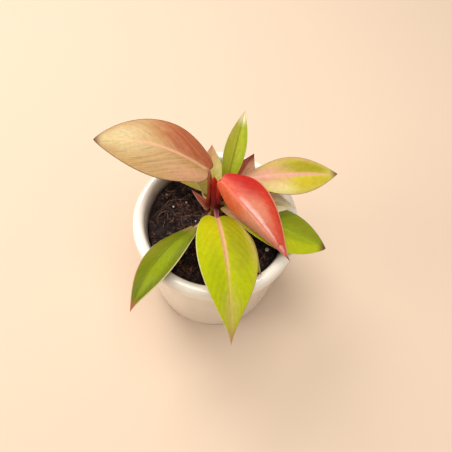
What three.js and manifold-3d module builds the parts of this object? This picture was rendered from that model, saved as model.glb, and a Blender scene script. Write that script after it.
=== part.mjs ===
// Cherry red philodendron in a round white pot: pot, soil, stem, twelve leaves and a cataphyll.
// Millimetres, +Z up, origin at the centre of the pot's flat base.
// The front of the pot faces -Y and +X is to its right.
import * as THREE from 'three';
import { mergeVertices } from 'three/addons/utils/BufferGeometryUtils.js';
import Module from 'manifold-3d';

const wasm = await Module();
wasm.setup();

// Pot
const POT_HEIGHT = 97;
const LIP_RADIUS = 60;
const LIP_HEIGHT = 13;
const BODY_TOP_RADIUS = 58;
const BASE_RADIUS = 50;
const FLOOR_THICKNESS = 7;
const POT_SEGMENTS = 64;
const MOUTH_RADIUS = 51.8;
const WALL_INSIDE = [[45.4, 11], [48.8, 60], [49.4, 86], [MOUTH_RADIUS - 0.4, 93]];

// Soil and clearances
const SOIL_TOP = 88;
const SOIL_RINGS = 13;
const SOIL_SECTORS = 44;
const GAP = 0.3;
const CHIPS = 34;
const CHIP_SEED = 7;

// Stem, with the sheathed new leaf at its top: points up its middle, each with the radius there
const STEM = [
  { at: [-0.4, 9.8, 70], radius: 4.6 },
  { at: [-0.4, 9.8, 86], radius: 5 },
  { at: [-0.7, 9.5, 94], radius: 4.8 },
  { at: [-1.2, 9.2, 101], radius: 4.3 },
  { at: [-1.7, 8.9, 107], radius: 3.5 },
  { at: [-2, 9.2, 113], radius: 2.5 },
  { at: [-2.3, 9.7, 119], radius: 1.95 },
  { at: [-2.9, 9.5, 126], radius: 1.8 },
  { at: [-3.3, 9.3, 131], radius: 1.3 },
  { at: [-3.5, 9.2, 134], radius: 0.4 },
];
const STEM_SIDES = 16;
const STEM_RINGS = 30;

// Leaves
const BLADE_THICKNESS = 0.75;
const RIB_THICKNESS = 0.9;
const RIB_WIDTH = 2.2;
const RIB_STEPS = 120;
const ROWS = [0, 0.03, 0.08, 0.15, 0.23, 0.32, 0.42, 0.52, 0.62, 0.72, 0.81, 0.89, 0.95, 1];
const COLUMNS = [-1, -0.7, -0.38, -0.1, 0, 0.1, 0.38, 0.7, 1];
const PETIOLE_SIDES = 8;
const PETIOLE_RINGS = 14;

// Each leaf: base is where petiole and blade meet. heading is the compass angle of the midrib from +X
// and turn its change to the tip. pitch, roll and their tip values tilt the blade, fold and curl shape its
// halves. wide is where the blade is widest, point how drawn out its tip is and shoulder its width at the
// base. root is the angle and height on the stem where the petiole starts, via a point on its way.
const LEAVES = [
  {
    name: 'leaf_upper_left', color: 0xb98a5c, base: [-7.8, 13.9, 134], heading: 169, turn: 5,
    pitch: 38, tipPitch: -29, length: 84, width: 41.5, roll: -9, tipRoll: -12, fold: -1, curl: -20,
    wide: 0.4, point: 0.8, shoulder: 0.46, root: [192, 100], via: [-5.8, 10.4, 113], petiole: 2,
  },
  {
    name: 'leaf_back_small', color: 0xb9a468, base: [-6.2, 16.6, 101], heading: 94, turn: 0,
    pitch: 47, tipPitch: 42, length: 35.5, width: 21.5, roll: -6, tipRoll: -2, fold: 23, curl: 1,
    wide: 0.4, point: 1.2, shoulder: 0.41, root: [122, 91.5], via: [-4.4, 14.6, 96], petiole: 1.3,
  },
  {
    name: 'leaf_back_green', color: 0x8f9a2c, base: [5.2, 15.2, 118], heading: 79, turn: 2,
    pitch: 44, tipPitch: 17, length: 52, width: 19, roll: 7, tipRoll: 3, fold: 40, curl: 2,
    wide: 0.43, point: 1.05, shoulder: 0.4, root: [80, 98.5], via: [2.4, 15, 109], petiole: 1.4,
  },
  {
    name: 'leaf_back_maroon', color: 0x8b4038, base: [7.9, 17.8, 106], heading: 49, turn: 9,
    pitch: 39, tipPitch: 43, length: 31.5, width: 20, roll: 22, tipRoll: 28, fold: 28, curl: 1,
    wide: 0.37, point: 1.1, shoulder: 0.42, root: [52, 92], via: [4.8, 15, 99.5], petiole: 1.3,
  },
  {
    name: 'leaf_right', color: 0xc9a55e, base: [18.3, 16.5, 125], heading: 3.5, turn: 10.5,
    pitch: 16, tipPitch: -12, length: 63.5, width: 32, roll: -16, tipRoll: 11, fold: 9, curl: -21,
    wide: 0.44, point: 0.96, shoulder: 0.38, root: [34, 105.4], via: [8, 12.2, 115], petiole: 1.5,
  },
  {
    name: 'leaf_cherry_red', color: 0xc8402c, base: [1.5, 4.6, 137], heading: -41, turn: 8,
    pitch: -9, tipPitch: -42, length: 72, width: 40, roll: 43, tipRoll: 52, fold: -27, curl: -29,
    wide: 0.28, point: 1.3, shoulder: 0.46, root: [300, 108.4], via: [-0.5, 6.2, 119], petiole: 1.9,
  },
  {
    name: 'leaf_right_small', color: 0x7f9a33, base: [12.8, 4.1, 112], heading: 4, turn: -5,
    pitch: 14, tipPitch: -14, length: 42, width: 20.5, roll: -1, tipRoll: -1, fold: 15, curl: -9,
    wide: 0.38, point: 1.05, shoulder: 0.4, root: [338, 102.4], via: [7.2, 6.4, 109.2], petiole: 1.3,
  },
  {
    name: 'leaf_lower_right', color: 0x93a020, base: [5.4, 4.8, 104], heading: -17, turn: 4,
    pitch: 6, tipPitch: -22, length: 78, width: 36.5, roll: -27, tipRoll: 3, fold: 7, curl: -20,
    wide: 0.54, point: 0.83, shoulder: 0.31, root: [345, 93.5], via: [5.6, 6.8, 99], petiole: 1.6,
  },
  {
    name: 'leaf_front', color: 0xb9bf2a, base: [1, -9.4, 112], heading: -73.5, turn: -10,
    pitch: 30, tipPitch: -47, length: 92, width: 42.5, roll: -12, tipRoll: -36, fold: 13, curl: -10,
    wide: 0.4, point: 1.45, shoulder: 0.49, root: [270, 97.4], via: [-0.2, -1, 106.4], petiole: 2.3,
  },
  {
    name: 'leaf_under_front', color: 0x7c8030, base: [7.2, -9.6, 102], heading: -54, turn: 5,
    pitch: 15, tipPitch: -14, length: 44, width: 19.5, roll: 0, tipRoll: -1, fold: 13, curl: -11,
    wide: 0.36, point: 1.2, shoulder: 0.42, root: [296, 91], via: [3.4, -1.8, 97], petiole: 1.3,
  },
  {
    name: 'leaf_front_left', color: 0x7f9a2a, base: [-15.2, -15.2, 106], heading: -133, turn: 24,
    pitch: 14, tipPitch: -47, length: 74.5, width: 30.5, roll: 45, tipRoll: 7, fold: 6, curl: -25,
    wide: 0.35, point: 1.25, shoulder: 0.36, root: [234, 92.4], via: [-6.8, -3.8, 99.6], petiole: 1.4,
  },
  {
    name: 'leaf_lower_left', color: 0x8e9a36, base: [-12, 19.6, 101.6], heading: 148, turn: 2,
    pitch: 15, tipPitch: -10, length: 50, width: 19, roll: 8, tipRoll: 2, fold: 20, curl: -8,
    wide: 0.41, point: 1.15, shoulder: 0.36, root: [154, 95.6], via: [-10.2, 15.6, 97.6], petiole: 1.3,
  },
  {
    name: 'cataphyll', color: 0xa8503e, base: [-7.6, 7.2, 94.2], heading: 151, turn: 0,
    pitch: 47, tipPitch: 42, length: 19, width: 7.5, roll: 0, tipRoll: 0, fold: 45, curl: 6,
    wide: 0.34, point: 0.95, shoulder: 0.66, root: [194, 90.2], petiole: 1.4,
  },
];

const radians = (degrees) => (degrees * Math.PI) / 180;
const mix = (a, b, t) => a + (b - a) * t;
const vec = (p) => new THREE.Vector3(...p);

// Solids

function solidOf(geometry) {
  const bare = geometry.clone();
  bare.deleteAttribute('normal');
  bare.deleteAttribute('uv');
  const merged = mergeVertices(bare, 1e-4);
  const index = [...merged.index.array];
  const kept = [];
  for (let i = 0; i < index.length; i += 3) {
    const [a, b, c] = index.slice(i, i + 3);
    if (a !== b && b !== c && c !== a) kept.push(a, b, c);
  }
  return new wasm.Manifold(new wasm.Mesh({
    numProp: 3,
    vertProperties: new Float32Array(merged.attributes.position.array),
    triVerts: new Uint32Array(kept),
  }));
}

function geometryOf(solid) {
  const mesh = solid.getMesh();
  const geometry = new THREE.BufferGeometry();
  geometry.setAttribute('position', new THREE.BufferAttribute(Float32Array.from(mesh.vertProperties), 3));
  geometry.setIndex([...mesh.triVerts]);
  geometry.computeVertexNormals();
  return geometry;
}

function geometryFrom(points, triangles) {
  const geometry = new THREE.BufferGeometry();
  const positions = points.flatMap((p) => [p.x, p.y, p.z]);
  geometry.setAttribute('position', new THREE.Float32BufferAttribute(positions, 3));
  geometry.setIndex(triangles.flat());
  return geometry;
}

// A round bar of changing radius along a curve, closed by a flat cap at each end
function taperedBar(curve, radiusAt, rings, sides) {
  const frames = curve.computeFrenetFrames(rings, false);
  const points = [];
  const triangles = [];
  for (let i = 0; i <= rings; i++) {
    const centre = curve.getPointAt(i / rings);
    const radius = radiusAt(i / rings, centre);
    for (let j = 0; j < sides; j++) {
      const angle = (2 * Math.PI * j) / sides;
      points.push(centre.clone()
        .addScaledVector(frames.normals[i], radius * Math.cos(angle))
        .addScaledVector(frames.binormals[i], radius * Math.sin(angle)));
    }
  }
  for (let i = 0; i < rings; i++) {
    for (let j = 0; j < sides; j++) {
      const [a, b] = [i * sides + j, i * sides + ((j + 1) % sides)];
      triangles.push([a, b, b + sides], [a, b + sides, a + sides]);
    }
  }
  for (const [ring, flip] of [[0, true], [rings, false]]) {
    const centre = points.push(curve.getPointAt(ring / rings)) - 1;
    for (let j = 0; j < sides; j++) {
      const [a, b] = [ring * sides + j, ring * sides + ((j + 1) % sides)];
      triangles.push(flip ? [centre, b, a] : [centre, a, b]);
    }
  }
  return solidOf(geometryFrom(points, triangles));
}

// Pot

function wallInside(z) {
  for (let i = 1; i < WALL_INSIDE.length; i++) {
    const [[r0, z0], [r1, z1]] = [WALL_INSIDE[i - 1], WALL_INSIDE[i]];
    if (z <= z1) return mix(r0, r1, Math.max(0, (z - z0) / (z1 - z0)));
  }
  return MOUTH_RADIUS;
}

function potGeometry() {
  const lipFoot = POT_HEIGHT - LIP_HEIGHT;
  const profile = [
    [0, 0], [BASE_RADIUS - 1.6, 0], [BASE_RADIUS - 0.5, 0.5], [BASE_RADIUS, 1.6],
    [BODY_TOP_RADIUS - 0.2, lipFoot - 2], [BODY_TOP_RADIUS, lipFoot],
    [LIP_RADIUS - 0.7, lipFoot + 0.6], [LIP_RADIUS, lipFoot + 2.4], [LIP_RADIUS, POT_HEIGHT - 4.5],
    [LIP_RADIUS - 0.7, POT_HEIGHT - 2], [LIP_RADIUS - 2.2, POT_HEIGHT - 0.5],
    [LIP_RADIUS - 3.8, POT_HEIGHT], [MOUTH_RADIUS + 2.6, POT_HEIGHT],
    [MOUTH_RADIUS + 1, POT_HEIGHT - 0.8], [MOUTH_RADIUS, POT_HEIGHT - 2.4],
    ...[...WALL_INSIDE].reverse(),
    [WALL_INSIDE[0][0] - 1.2, FLOOR_THICKNESS + 1.2], [WALL_INSIDE[0][0] - 4, FLOOR_THICKNESS],
    [0, FLOOR_THICKNESS],
  ];
  const lathe = new THREE.LatheGeometry(profile.map(([r, z]) => new THREE.Vector2(r, z)), POT_SEGMENTS);
  return lathe.rotateX(Math.PI / 2);
}

// Soil

function randomFrom(seed) {
  let state = seed;
  return () => {
    state = (state * 16807) % 2147483647;
    return state / 2147483647;
  };
}

// Height of the soil: a low heap round the stem and on the left, with lumps all over
function soilHeight(x, y) {
  const heap = 1.5 * Math.exp(-((x + 1) ** 2 + (y - 9) ** 2) / 260)
    + 1.6 * Math.exp(-((x + 30) ** 2 + (y - 14) ** 2) / 420);
  const lumps = 0.55 * Math.sin(0.43 * x + 0.9) * Math.cos(0.37 * y)
    + 0.4 * Math.sin(0.81 * x - 0.66 * y) + 0.3 * Math.cos(1.13 * y + 0.54 * x);
  return SOIL_TOP - 0.6 + heap + lumps;
}

function soilSolid() {
  const points = [new THREE.Vector3(0, 0, soilHeight(0, 0))];
  const triangles = [];
  const sideHeights = [SOIL_TOP - 5, 60, 11.3];
  for (let i = 1; i <= SOIL_RINGS; i++) {
    for (let j = 0; j < SOIL_SECTORS; j++) {
      const angle = (2 * Math.PI * (j + (i % 2) / 2)) / SOIL_SECTORS;
      const radius = (wallInside(SOIL_TOP - 3) - GAP - 0.15) * Math.sqrt(i / SOIL_RINGS);
      const [x, y] = [radius * Math.cos(angle), radius * Math.sin(angle)];
      points.push(new THREE.Vector3(x, y, i === SOIL_RINGS ? SOIL_TOP - 1 : soilHeight(x, y)));
    }
  }
  for (const z of sideHeights) {
    for (let j = 0; j < SOIL_SECTORS; j++) {
      const angle = (2 * Math.PI * (j + (SOIL_RINGS % 2) / 2)) / SOIL_SECTORS;
      const radius = wallInside(z) - GAP - 0.15;
      points.push(new THREE.Vector3(radius * Math.cos(angle), radius * Math.sin(angle), z));
    }
  }
  const foot = FLOOR_THICKNESS + GAP;
  for (let j = 0; j < SOIL_SECTORS; j++) {
    const angle = (2 * Math.PI * (j + (SOIL_RINGS % 2) / 2)) / SOIL_SECTORS;
    const radius = WALL_INSIDE[0][0] - 4.4;
    points.push(new THREE.Vector3(radius * Math.cos(angle), radius * Math.sin(angle), foot));
  }
  const middle = points.push(new THREE.Vector3(0, 0, foot)) - 1;
  const rings = SOIL_RINGS + sideHeights.length + 1;
  for (let j = 0; j < SOIL_SECTORS; j++) {
    const next = (j + 1) % SOIL_SECTORS;
    triangles.push([0, 1 + j, 1 + next]);
    for (let i = 1; i < rings; i++) {
      const inner = 1 + (i - 1) * SOIL_SECTORS;
      const outer = inner + SOIL_SECTORS;
      // Rings on the top are each half a sector on from the last, those down the side are not
      if (i % 2 && i < SOIL_RINGS) {
        triangles.push([inner + j, outer + j, outer + next], [inner + j, outer + next, inner + next]);
      } else {
        triangles.push([inner + j, outer + j, inner + next], [inner + next, outer + j, outer + next]);
      }
    }
    const last = 1 + (rings - 1) * SOIL_SECTORS;
    triangles.push([last + j, middle, last + next]);
  }
  return solidOf(geometryFrom(points, triangles));
}

// Bark and perlite: squat lumps sunk into the surface of the soil
function chipSolids() {
  const random = randomFrom(CHIP_SEED);
  const chips = [];
  while (chips.length < CHIPS) {
    const [angle, radius] = [2 * Math.PI * random(), 45 * Math.sqrt(random())];
    const [x, y] = [radius * Math.cos(angle), radius * Math.sin(angle)];
    const size = mix(1.2, 2.4, random());
    const chip = new THREE.OctahedronGeometry(size, 0);
    chip.scale(1, mix(0.6, 1, random()), 0.6);
    chip.rotateX(0.5 * random()).rotateZ(6.28 * random());
    chip.translate(x, y, soilHeight(x, y) - 0.05 * size);
    if (Math.hypot(x + 0.5, y - 9.6) > 9) chips.push(solidOf(chip));
  }
  return chips;
}

// Stem

// The stem's middle and girth at a height
function stemAt(z) {
  const i = Math.max(1, STEM.findIndex((p) => p.at[2] >= z));
  const [low, high] = [STEM[i - 1], STEM[i]];
  const t = (z - low.at[2]) / (high.at[2] - low.at[2]);
  return {
    centre: new THREE.Vector3(mix(low.at[0], high.at[0], t), mix(low.at[1], high.at[1], t), z),
    radius: mix(low.radius, high.radius, t),
  };
}

// The stem's girth, with a low ring at each old leaf scar
function stemRadius(z) {
  const scar = z > 86 && z < 106 ? 0.15 * Math.max(0, Math.cos((z - 88) * 1.15)) ** 4 : 0;
  return stemAt(Math.min(z, 134)).radius + scar;
}

// The stem, or the hole for it when it is made larger all round
function stemBar(extra) {
  const points = STEM.map((p) => vec(p.at));
  points[0].z -= extra;
  const curve = new THREE.CatmullRomCurve3(points, false, 'centripetal');
  return taperedBar(curve, (t, centre) => stemRadius(centre.z) + extra, STEM_RINGS, STEM_SIDES);
}

// Leaves

// The midrib: points, with the direction along it, to its left and up from the blade at each
function midrib(leaf) {
  const rib = [];
  let point = vec(leaf.base);
  const turnAt = (t) => radians(leaf.heading + leaf.turn * t);
  const along = (t) => {
    const pitch = radians(mix(leaf.pitch, leaf.tipPitch, t));
    return new THREE.Vector3(
      Math.cos(pitch) * Math.cos(turnAt(t)), Math.cos(pitch) * Math.sin(turnAt(t)), Math.sin(pitch));
  };
  for (let i = 0; i <= RIB_STEPS; i++) {
    const t = i / RIB_STEPS;
    const ahead = along(t);
    const level = new THREE.Vector3(-Math.sin(turnAt(t)), Math.cos(turnAt(t)), 0);
    const above = new THREE.Vector3().crossVectors(ahead, level);
    const roll = radians(mix(leaf.roll, leaf.tipRoll, t));
    const left = level.clone().multiplyScalar(Math.cos(roll)).addScaledVector(above, Math.sin(roll));
    const up = above.clone().multiplyScalar(Math.cos(roll)).addScaledVector(level, -Math.sin(roll));
    rib.push({ point: point.clone(), ahead, left, up });
    point = point.addScaledVector(along((i + 0.5) / RIB_STEPS), leaf.length / RIB_STEPS);
  }
  return rib;
}

// Half the blade's width at a share u of its length
function halfWidth(leaf, u) {
  const shape = u < leaf.wide
    ? leaf.shoulder + (1 - leaf.shoulder) * Math.sin((Math.PI / 2) * (u / leaf.wide))
    : Math.cos((Math.PI / 2) * Math.min(1, (u - leaf.wide) / (1 - leaf.wide))) ** leaf.point;
  return (leaf.width / 2) * shape;
}

// A point of the upper face and the direction up from it. u runs along the midrib from base to tip and
// v across from -1 at the right margin to 1 at the left. Rows sweep towards the tip as the side veins do.
function bladePoint(leaf, rib, u, v) {
  const side = Math.abs(v);
  const reach = u + 0.1 * (1 - u) * Math.min(1, u / 0.15 + 0.35);
  const half = halfWidth(leaf, reach);
  const lobe = 0.035 * (1 - u) ** 6 * Math.sin(Math.PI * side);
  const along = u + (reach - u) * side ** 1.6 - lobe;
  const place = Math.min(Math.max(along, 0), 1) * RIB_STEPS;
  const i = Math.min(Math.floor(place), RIB_STEPS - 1);
  const between = (key) => rib[i][key].clone().lerp(rib[i + 1][key], place - i);
  const [point, ahead, left, up] = ['point', 'ahead', 'left', 'up'].map(between);
  point.addScaledVector(ahead, Math.min(along, 0) * leaf.length);
  // Each half turns up by fold at the midrib and by curl more on its way to the margin
  const [fold, curl] = [radians(leaf.fold), radians(leaf.curl)];
  const angle = fold + curl * side;
  const out = (Math.sin(angle) - Math.sin(fold)) / curl;
  const rise = (Math.cos(fold) - Math.cos(angle)) / curl;
  point.addScaledVector(left, Math.sign(v) * half * out);
  point.addScaledVector(up, half * rise);
  const tilt = half < 0.05 ? 0 : angle * Math.sign(v);
  const normal = up.clone().multiplyScalar(Math.cos(tilt)).addScaledVector(left, -Math.sin(tilt));
  return { point, normal, across: half * side };
}

function bladeSolid(leaf, rib) {
  const points = [];
  const triangles = [];
  const columns = COLUMNS.length;
  const faceSize = ROWS.length * columns;
  const faces = [[], []];
  for (const u of ROWS) {
    for (const v of COLUMNS) {
      const { point, normal, across } = bladePoint(leaf, rib, u, v);
      const ribDepth = RIB_THICKNESS * (1 - 0.85 * u) * Math.exp(-((across / RIB_WIDTH) ** 2));
      faces[0].push(point);
      faces[1].push(point.clone().addScaledVector(normal, -BLADE_THICKNESS - (u < 1 ? ribDepth : 0)));
    }
  }
  points.push(...faces[0], ...faces[1]);
  // Both faces are split alike, mirrored at the midrib
  for (let i = 0; i < ROWS.length - 1; i++) {
    for (let j = 0; j < columns - 1; j++) {
      const [a, b] = [i * columns + j, i * columns + j + 1];
      const [c, d] = [a + columns, b + columns];
      const pair = j < columns / 2 - 1 ? [[a, d, b], [a, c, d]] : [[a, c, b], [b, c, d]];
      for (const [p, q, r] of pair) {
        triangles.push([p, q, r], [p + faceSize, r + faceSize, q + faceSize]);
      }
    }
  }
  // The rim of the blade: across its base, and along both margins
  const rim = [];
  for (let j = 0; j < columns; j++) rim.push(j);
  for (let i = 1; i < ROWS.length; i++) rim.push(i * columns + columns - 1);
  for (let i = ROWS.length - 1; i > 0; i--) rim.push(i * columns);
  rim.forEach((a, k) => {
    const b = rim[(k + 1) % rim.length];
    triangles.push([a, b, b + faceSize], [a, b + faceSize, a + faceSize]);
  });
  return solidOf(geometryFrom(points, triangles));
}

// The petiole runs from inside the stem to the blade and on under its midrib
function petioleCurve(leaf, rib, deeper) {
  const [angle, z] = [radians(leaf.root[0]), leaf.root[1]];
  const { centre, radius } = stemAt(z);
  const outward = new THREE.Vector3(Math.cos(angle), Math.sin(angle), 0);
  const leave = centre.clone().addScaledVector(outward, radius + 0.9).add(new THREE.Vector3(0, 0, 2.6));
  const root = centre.clone().addScaledVector(outward, radius - 1.7);
  root.addScaledVector(root.clone().sub(leave).normalize(), deeper);
  const under = (i, depth) => rib[i].point.clone().addScaledVector(rib[i].up, -depth);
  const via = leaf.via ? [vec(leaf.via)] : [];
  return new THREE.CatmullRomCurve3(
    [root, leave, ...via, under(0, 1), under(8, 1.05), under(17, 0.85)], false, 'centripetal');
}

function petioleRadius(leaf, t) {
  const tip = 0.55;
  const waist = leaf.petiole * 0.8;
  return t < 0.75 ? mix(leaf.petiole, waist, t / 0.75) : mix(waist, tip, (t - 0.75) / 0.25);
}

const leafParts = LEAVES.map((leaf) => {
  const rib = midrib(leaf);
  const [curve, deeper] = [0, GAP].map((depth) => petioleCurve(leaf, rib, depth));
  const petiole = taperedBar(curve, (t) => petioleRadius(leaf, t), PETIOLE_RINGS, PETIOLE_SIDES);
  const socket = taperedBar(deeper, (t) => petioleRadius(leaf, t) + 1.4 * GAP, PETIOLE_RINGS, PETIOLE_SIDES);
  return { leaf, solid: bladeSolid(leaf, rib).add(petiole), socket };
});

// Assembly

const group = new THREE.Group();
group.name = 'potted_cherry_red_philodendron';

function addPart(name, geometry, color, roughness) {
  const mesh = new THREE.Mesh(geometry, new THREE.MeshStandardMaterial({ color, roughness, metalness: 0 }));
  mesh.name = name;
  group.add(mesh);
}

const soil = chipSolids().reduce((body, chip) => body.add(chip), soilSolid()).subtract(stemBar(GAP));
const stem = leafParts.reduce((body, { socket }) => body.subtract(socket), stemBar(0));

addPart('pot', potGeometry(), 0xf2efe9, 0.25);
addPart('soil', geometryOf(soil), 0x2b211c, 0.95);
addPart('stem', geometryOf(stem), 0x7a2a20, 0.45);
for (const { leaf, solid } of leafParts) {
  addPart(leaf.name, geometryOf(solid), leaf.color, 0.35);
}

export default group;
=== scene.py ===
"""Looks of a cherry red philodendron in a white glazed pot: pot, potting mix, stem and leaves.

Blender works in metres. Sizes in the tables and formulas below are in millimetres, in the frame of the
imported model: +Z up, the front towards -Y, the origin at the centre of the pot's flat base.
"""
import math

import bmesh
import bpy
import numpy as np
from mathutils import Matrix, Vector


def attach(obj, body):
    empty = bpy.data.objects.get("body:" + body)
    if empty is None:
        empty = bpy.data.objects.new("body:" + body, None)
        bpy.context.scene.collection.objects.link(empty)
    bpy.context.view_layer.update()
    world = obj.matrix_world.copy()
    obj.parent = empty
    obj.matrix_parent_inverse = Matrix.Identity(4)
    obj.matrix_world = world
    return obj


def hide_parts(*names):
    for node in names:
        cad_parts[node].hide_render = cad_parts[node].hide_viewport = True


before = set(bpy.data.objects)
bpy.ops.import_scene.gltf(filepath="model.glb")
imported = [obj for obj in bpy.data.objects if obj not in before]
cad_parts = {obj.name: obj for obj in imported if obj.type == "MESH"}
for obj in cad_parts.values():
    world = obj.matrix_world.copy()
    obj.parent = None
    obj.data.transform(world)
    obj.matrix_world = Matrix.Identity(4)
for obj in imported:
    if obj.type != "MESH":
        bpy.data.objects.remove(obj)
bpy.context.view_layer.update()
scene = bpy.context.scene

MM = 0.001

# Camera: how it stands to the object, in millimetres and degrees
CAMERA_TARGET = (7.5, -6.6, 97)
CAMERA_DISTANCE = 355
CAMERA_ELEVATION = 61.8
CAMERA_ROLL = 5.6
CAMERA_SENSOR = 36
CAMERA_LENS = CAMERA_SENSOR * 500 / 452

# Stage, in metres: each light's name, place, size, watts and colour, and where they all point
LIGHTS = [
    ("window", (-0.55, 0.65, 0.9), 0.7, 8.5, (1, 0.985, 0.96)),
    ("overhead", (0, -0.05, 1.1), 0.8, 7.5, (1, 0.98, 0.95)),
    ("fill", (-1, -0.28, 0.5), 0.6, 4.2, (1, 0.97, 0.93)),
    ("low_fill", (0.9, -0.5, 0.6), 0.9, 1.2, (1, 0.98, 0.96)),
]
LIGHT_TARGET = (0, 0, 0.1)
SKY_COLOUR = (1, 0.98, 0.96, 1)
SKY_STRENGTH = 0.45
FLOOR_COLOUR = "#d6bea6"
FLOOR_SIDE = 6
FLOOR_DROP = 0.0002

# Pot
POT_HEIGHT = 97
LIP_RADIUS = 60
LIP_HEIGHT = 13
BODY_TOP_RADIUS = 58
BASE_RADIUS = 50
FLOOR_THICKNESS = 7
MOUTH_RADIUS = 51.8
WALL_INSIDE = [(45.4, 11), (48.8, 60), (49.4, 86), (MOUTH_RADIUS - 0.4, 93)]
POT_SEGMENTS = 192
CORNER_PASSES = 3

# Each glaze and clay colour is a pair that clouds mix. The body's pair is darker and warmer than the lip's:
# painted shade and a painted warm reflection of the floor.
GLAZE_LIP = ("#e8dece", "#f1e9dd")
GLAZE_BODY_WITH_PAINTED_SHADE = ("#e2d3bf", "#eaddcc")
GLAZE_SPECK = "#b9ab98"
INNER_WALL_BROWN = "#6e5546"
BARE_CLAY = ("#cfc4b4", "#e2dacd")

# Potting mix
SOIL_TOP = 88
SOIL_RADIUS = 48.8
SOIL_GRID = 236
SOIL_RINGS = (SOIL_TOP - 4, 60, 11.3, FLOOR_THICKNESS + 0.3)
LUMPS = 1500
CRUMBS = 420
CRUMB_REACH = 46.5
FLAKES = 110
FIBRES = 190
FIBRE_STEPS = 13
LITTER_REACH = 44
PERLITE_SPOTS = [(38.5, -17.5, 1.7), (-23.5, 14, 0.9), (-32.5, 9.5, 0.9)]
PERLITE_LOOSE = 5
STEM_SPOT = (-0.5, 9.6)
STEM_CLEARANCE = 6.5

# A bundle of coir that lies across the left side: how many threads, its middle and its spread
BUNDLE = 46
BUNDLE_SPOT = (-27, 4)
BUNDLE_SPREAD = (8, 3)

# Dark, light and rust colours of the mix and of what lies on it, and coir from dark to pale
SOIL_TONES = ("#120b0a", "#48322a", "#70483c")
CRUMB_TONES = ("#180f0d", "#54392e", "#7a5044")
BARK_TONES = ("#341c13", "#6c4029", "#8a5638")
COIR_TONES = [(0, "#2c1710"), (0.4, "#543226"), (0.75, "#805545"), (1, "#a07c64")]
COIR_SHADE = "#24130d"
PERLITE_TONES = ("#a89e94", "#dedad2")
PERLITE_DUST = "#6a5344"

# Stem: points up its middle and the radius at each
STEM = [
    (-0.4, 9.8, 70, 4.6), (-0.4, 9.8, 86, 5), (-0.7, 9.5, 94, 4.8), (-1.2, 9.2, 101, 4.3),
    (-1.7, 8.9, 107, 3.5), (-2, 9.2, 113, 2.5), (-2.3, 9.7, 119, 1.95), (-2.9, 9.5, 126, 1.8),
    (-3.3, 9.3, 131, 1.3), (-3.5, 9.2, 134, 0.4),
]
STEM_SIDES = 40

# Ring scars stand out on the stem between two heights. The closed sheath of the next leaf is broader than
# round by a share that grows, then fades.
SCARS = (86, 106)
SCAR_RELIEF = 0.15
SHEATH_BREADTH = 0.32
SHEATH_GROWS = (106, 115)
SHEATH_FADES = (127, 133)

# Leaf build
CURVE_POINTS = 400
RIB_STEPS = 120
BLADE_ROWS = 150
BLADE_COLUMNS = 56
BLADE_THICKNESS = 0.45
MARGIN_THICKNESS = 0.22
MARGIN_TAPER = 3
TIP_THICKNESS = 0.2
COMMON_WIDTH = 42
RIB_DEPTH = 1.05
RIB_WIDTH = 1.3
GROOVE_DEPTH = 0.32
GROOVE_WIDTH = 0.9
CREASE = 1.6
CREASE_DEPTH = 0.45
VEIN_SPACING = 7.5
VEIN_SWEEP = 0.3
VEIN_POWER = 1.2
VEIN_DEPTH = 0.1
VEIN_DEPTH_BELOW = 0.08
DENT_DEPTH = 0.45
DENT_WIDTH = 0.7
LIGHT_THROUGH = 0.22
PETIOLE_RINGS = 70
PETIOLE_SIDES = 18
PETIOLE_SUNK = 1.7
PETIOLE_LEAVES = (0.9, 2.6)
PETIOLE_SEATS = ((0, 1.15), (8, 1.55), (17, 1.2))
PETIOLE_WAIST = 0.8
PETIOLE_END = 0.55
PETIOLE_CHANNEL = 0.26

# Pigments, as screen colours
CHERRY = "#c81608"
SCARLET = "#e04a2c"
ROSE = "#e05c48"
SALMON = "#ee9a78"
COPPER = "#b8613a"
TAN = "#c89e62"
STRAW = "#dcc668"
PEACH = "#e8ae84"
PINK = "#e6a890"
CREAM = "#ead9a0"
LIME = "#c3cb04"
YELLOW = "#d6cf1c"
GRASS = "#9cae10"
OLIVE = "#9c9612"
MOSS = "#7c8414"
FERN = "#6f7904"
PRIMROSE = "#e8de86"
SAND = "#dac48c"
GOLD = "#aa9c0a"
OCHRE = "#ccb61a"
FLAME = "#ff7448"
RUST = "#ac4420"
GUAVA = "#ff8672"
CITRUS = "#cdc540"
CORAL = "#ffb294"
MIST = "#fbf0cc"
# BLUSH is the pale pink of the painted highlights on the cherry red leaf and of the cataphyll's margin
BLUSH = "#ffd2c4"
CLAY = "#d69e7a"
BRICK = "#c46c56"
MAUVE = "#9c525e"
MAROON = "#7c221c"
RUBY = "#8a1a14"
WINE = "#4a1218"
BROWN = "#6b3f26"

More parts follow.
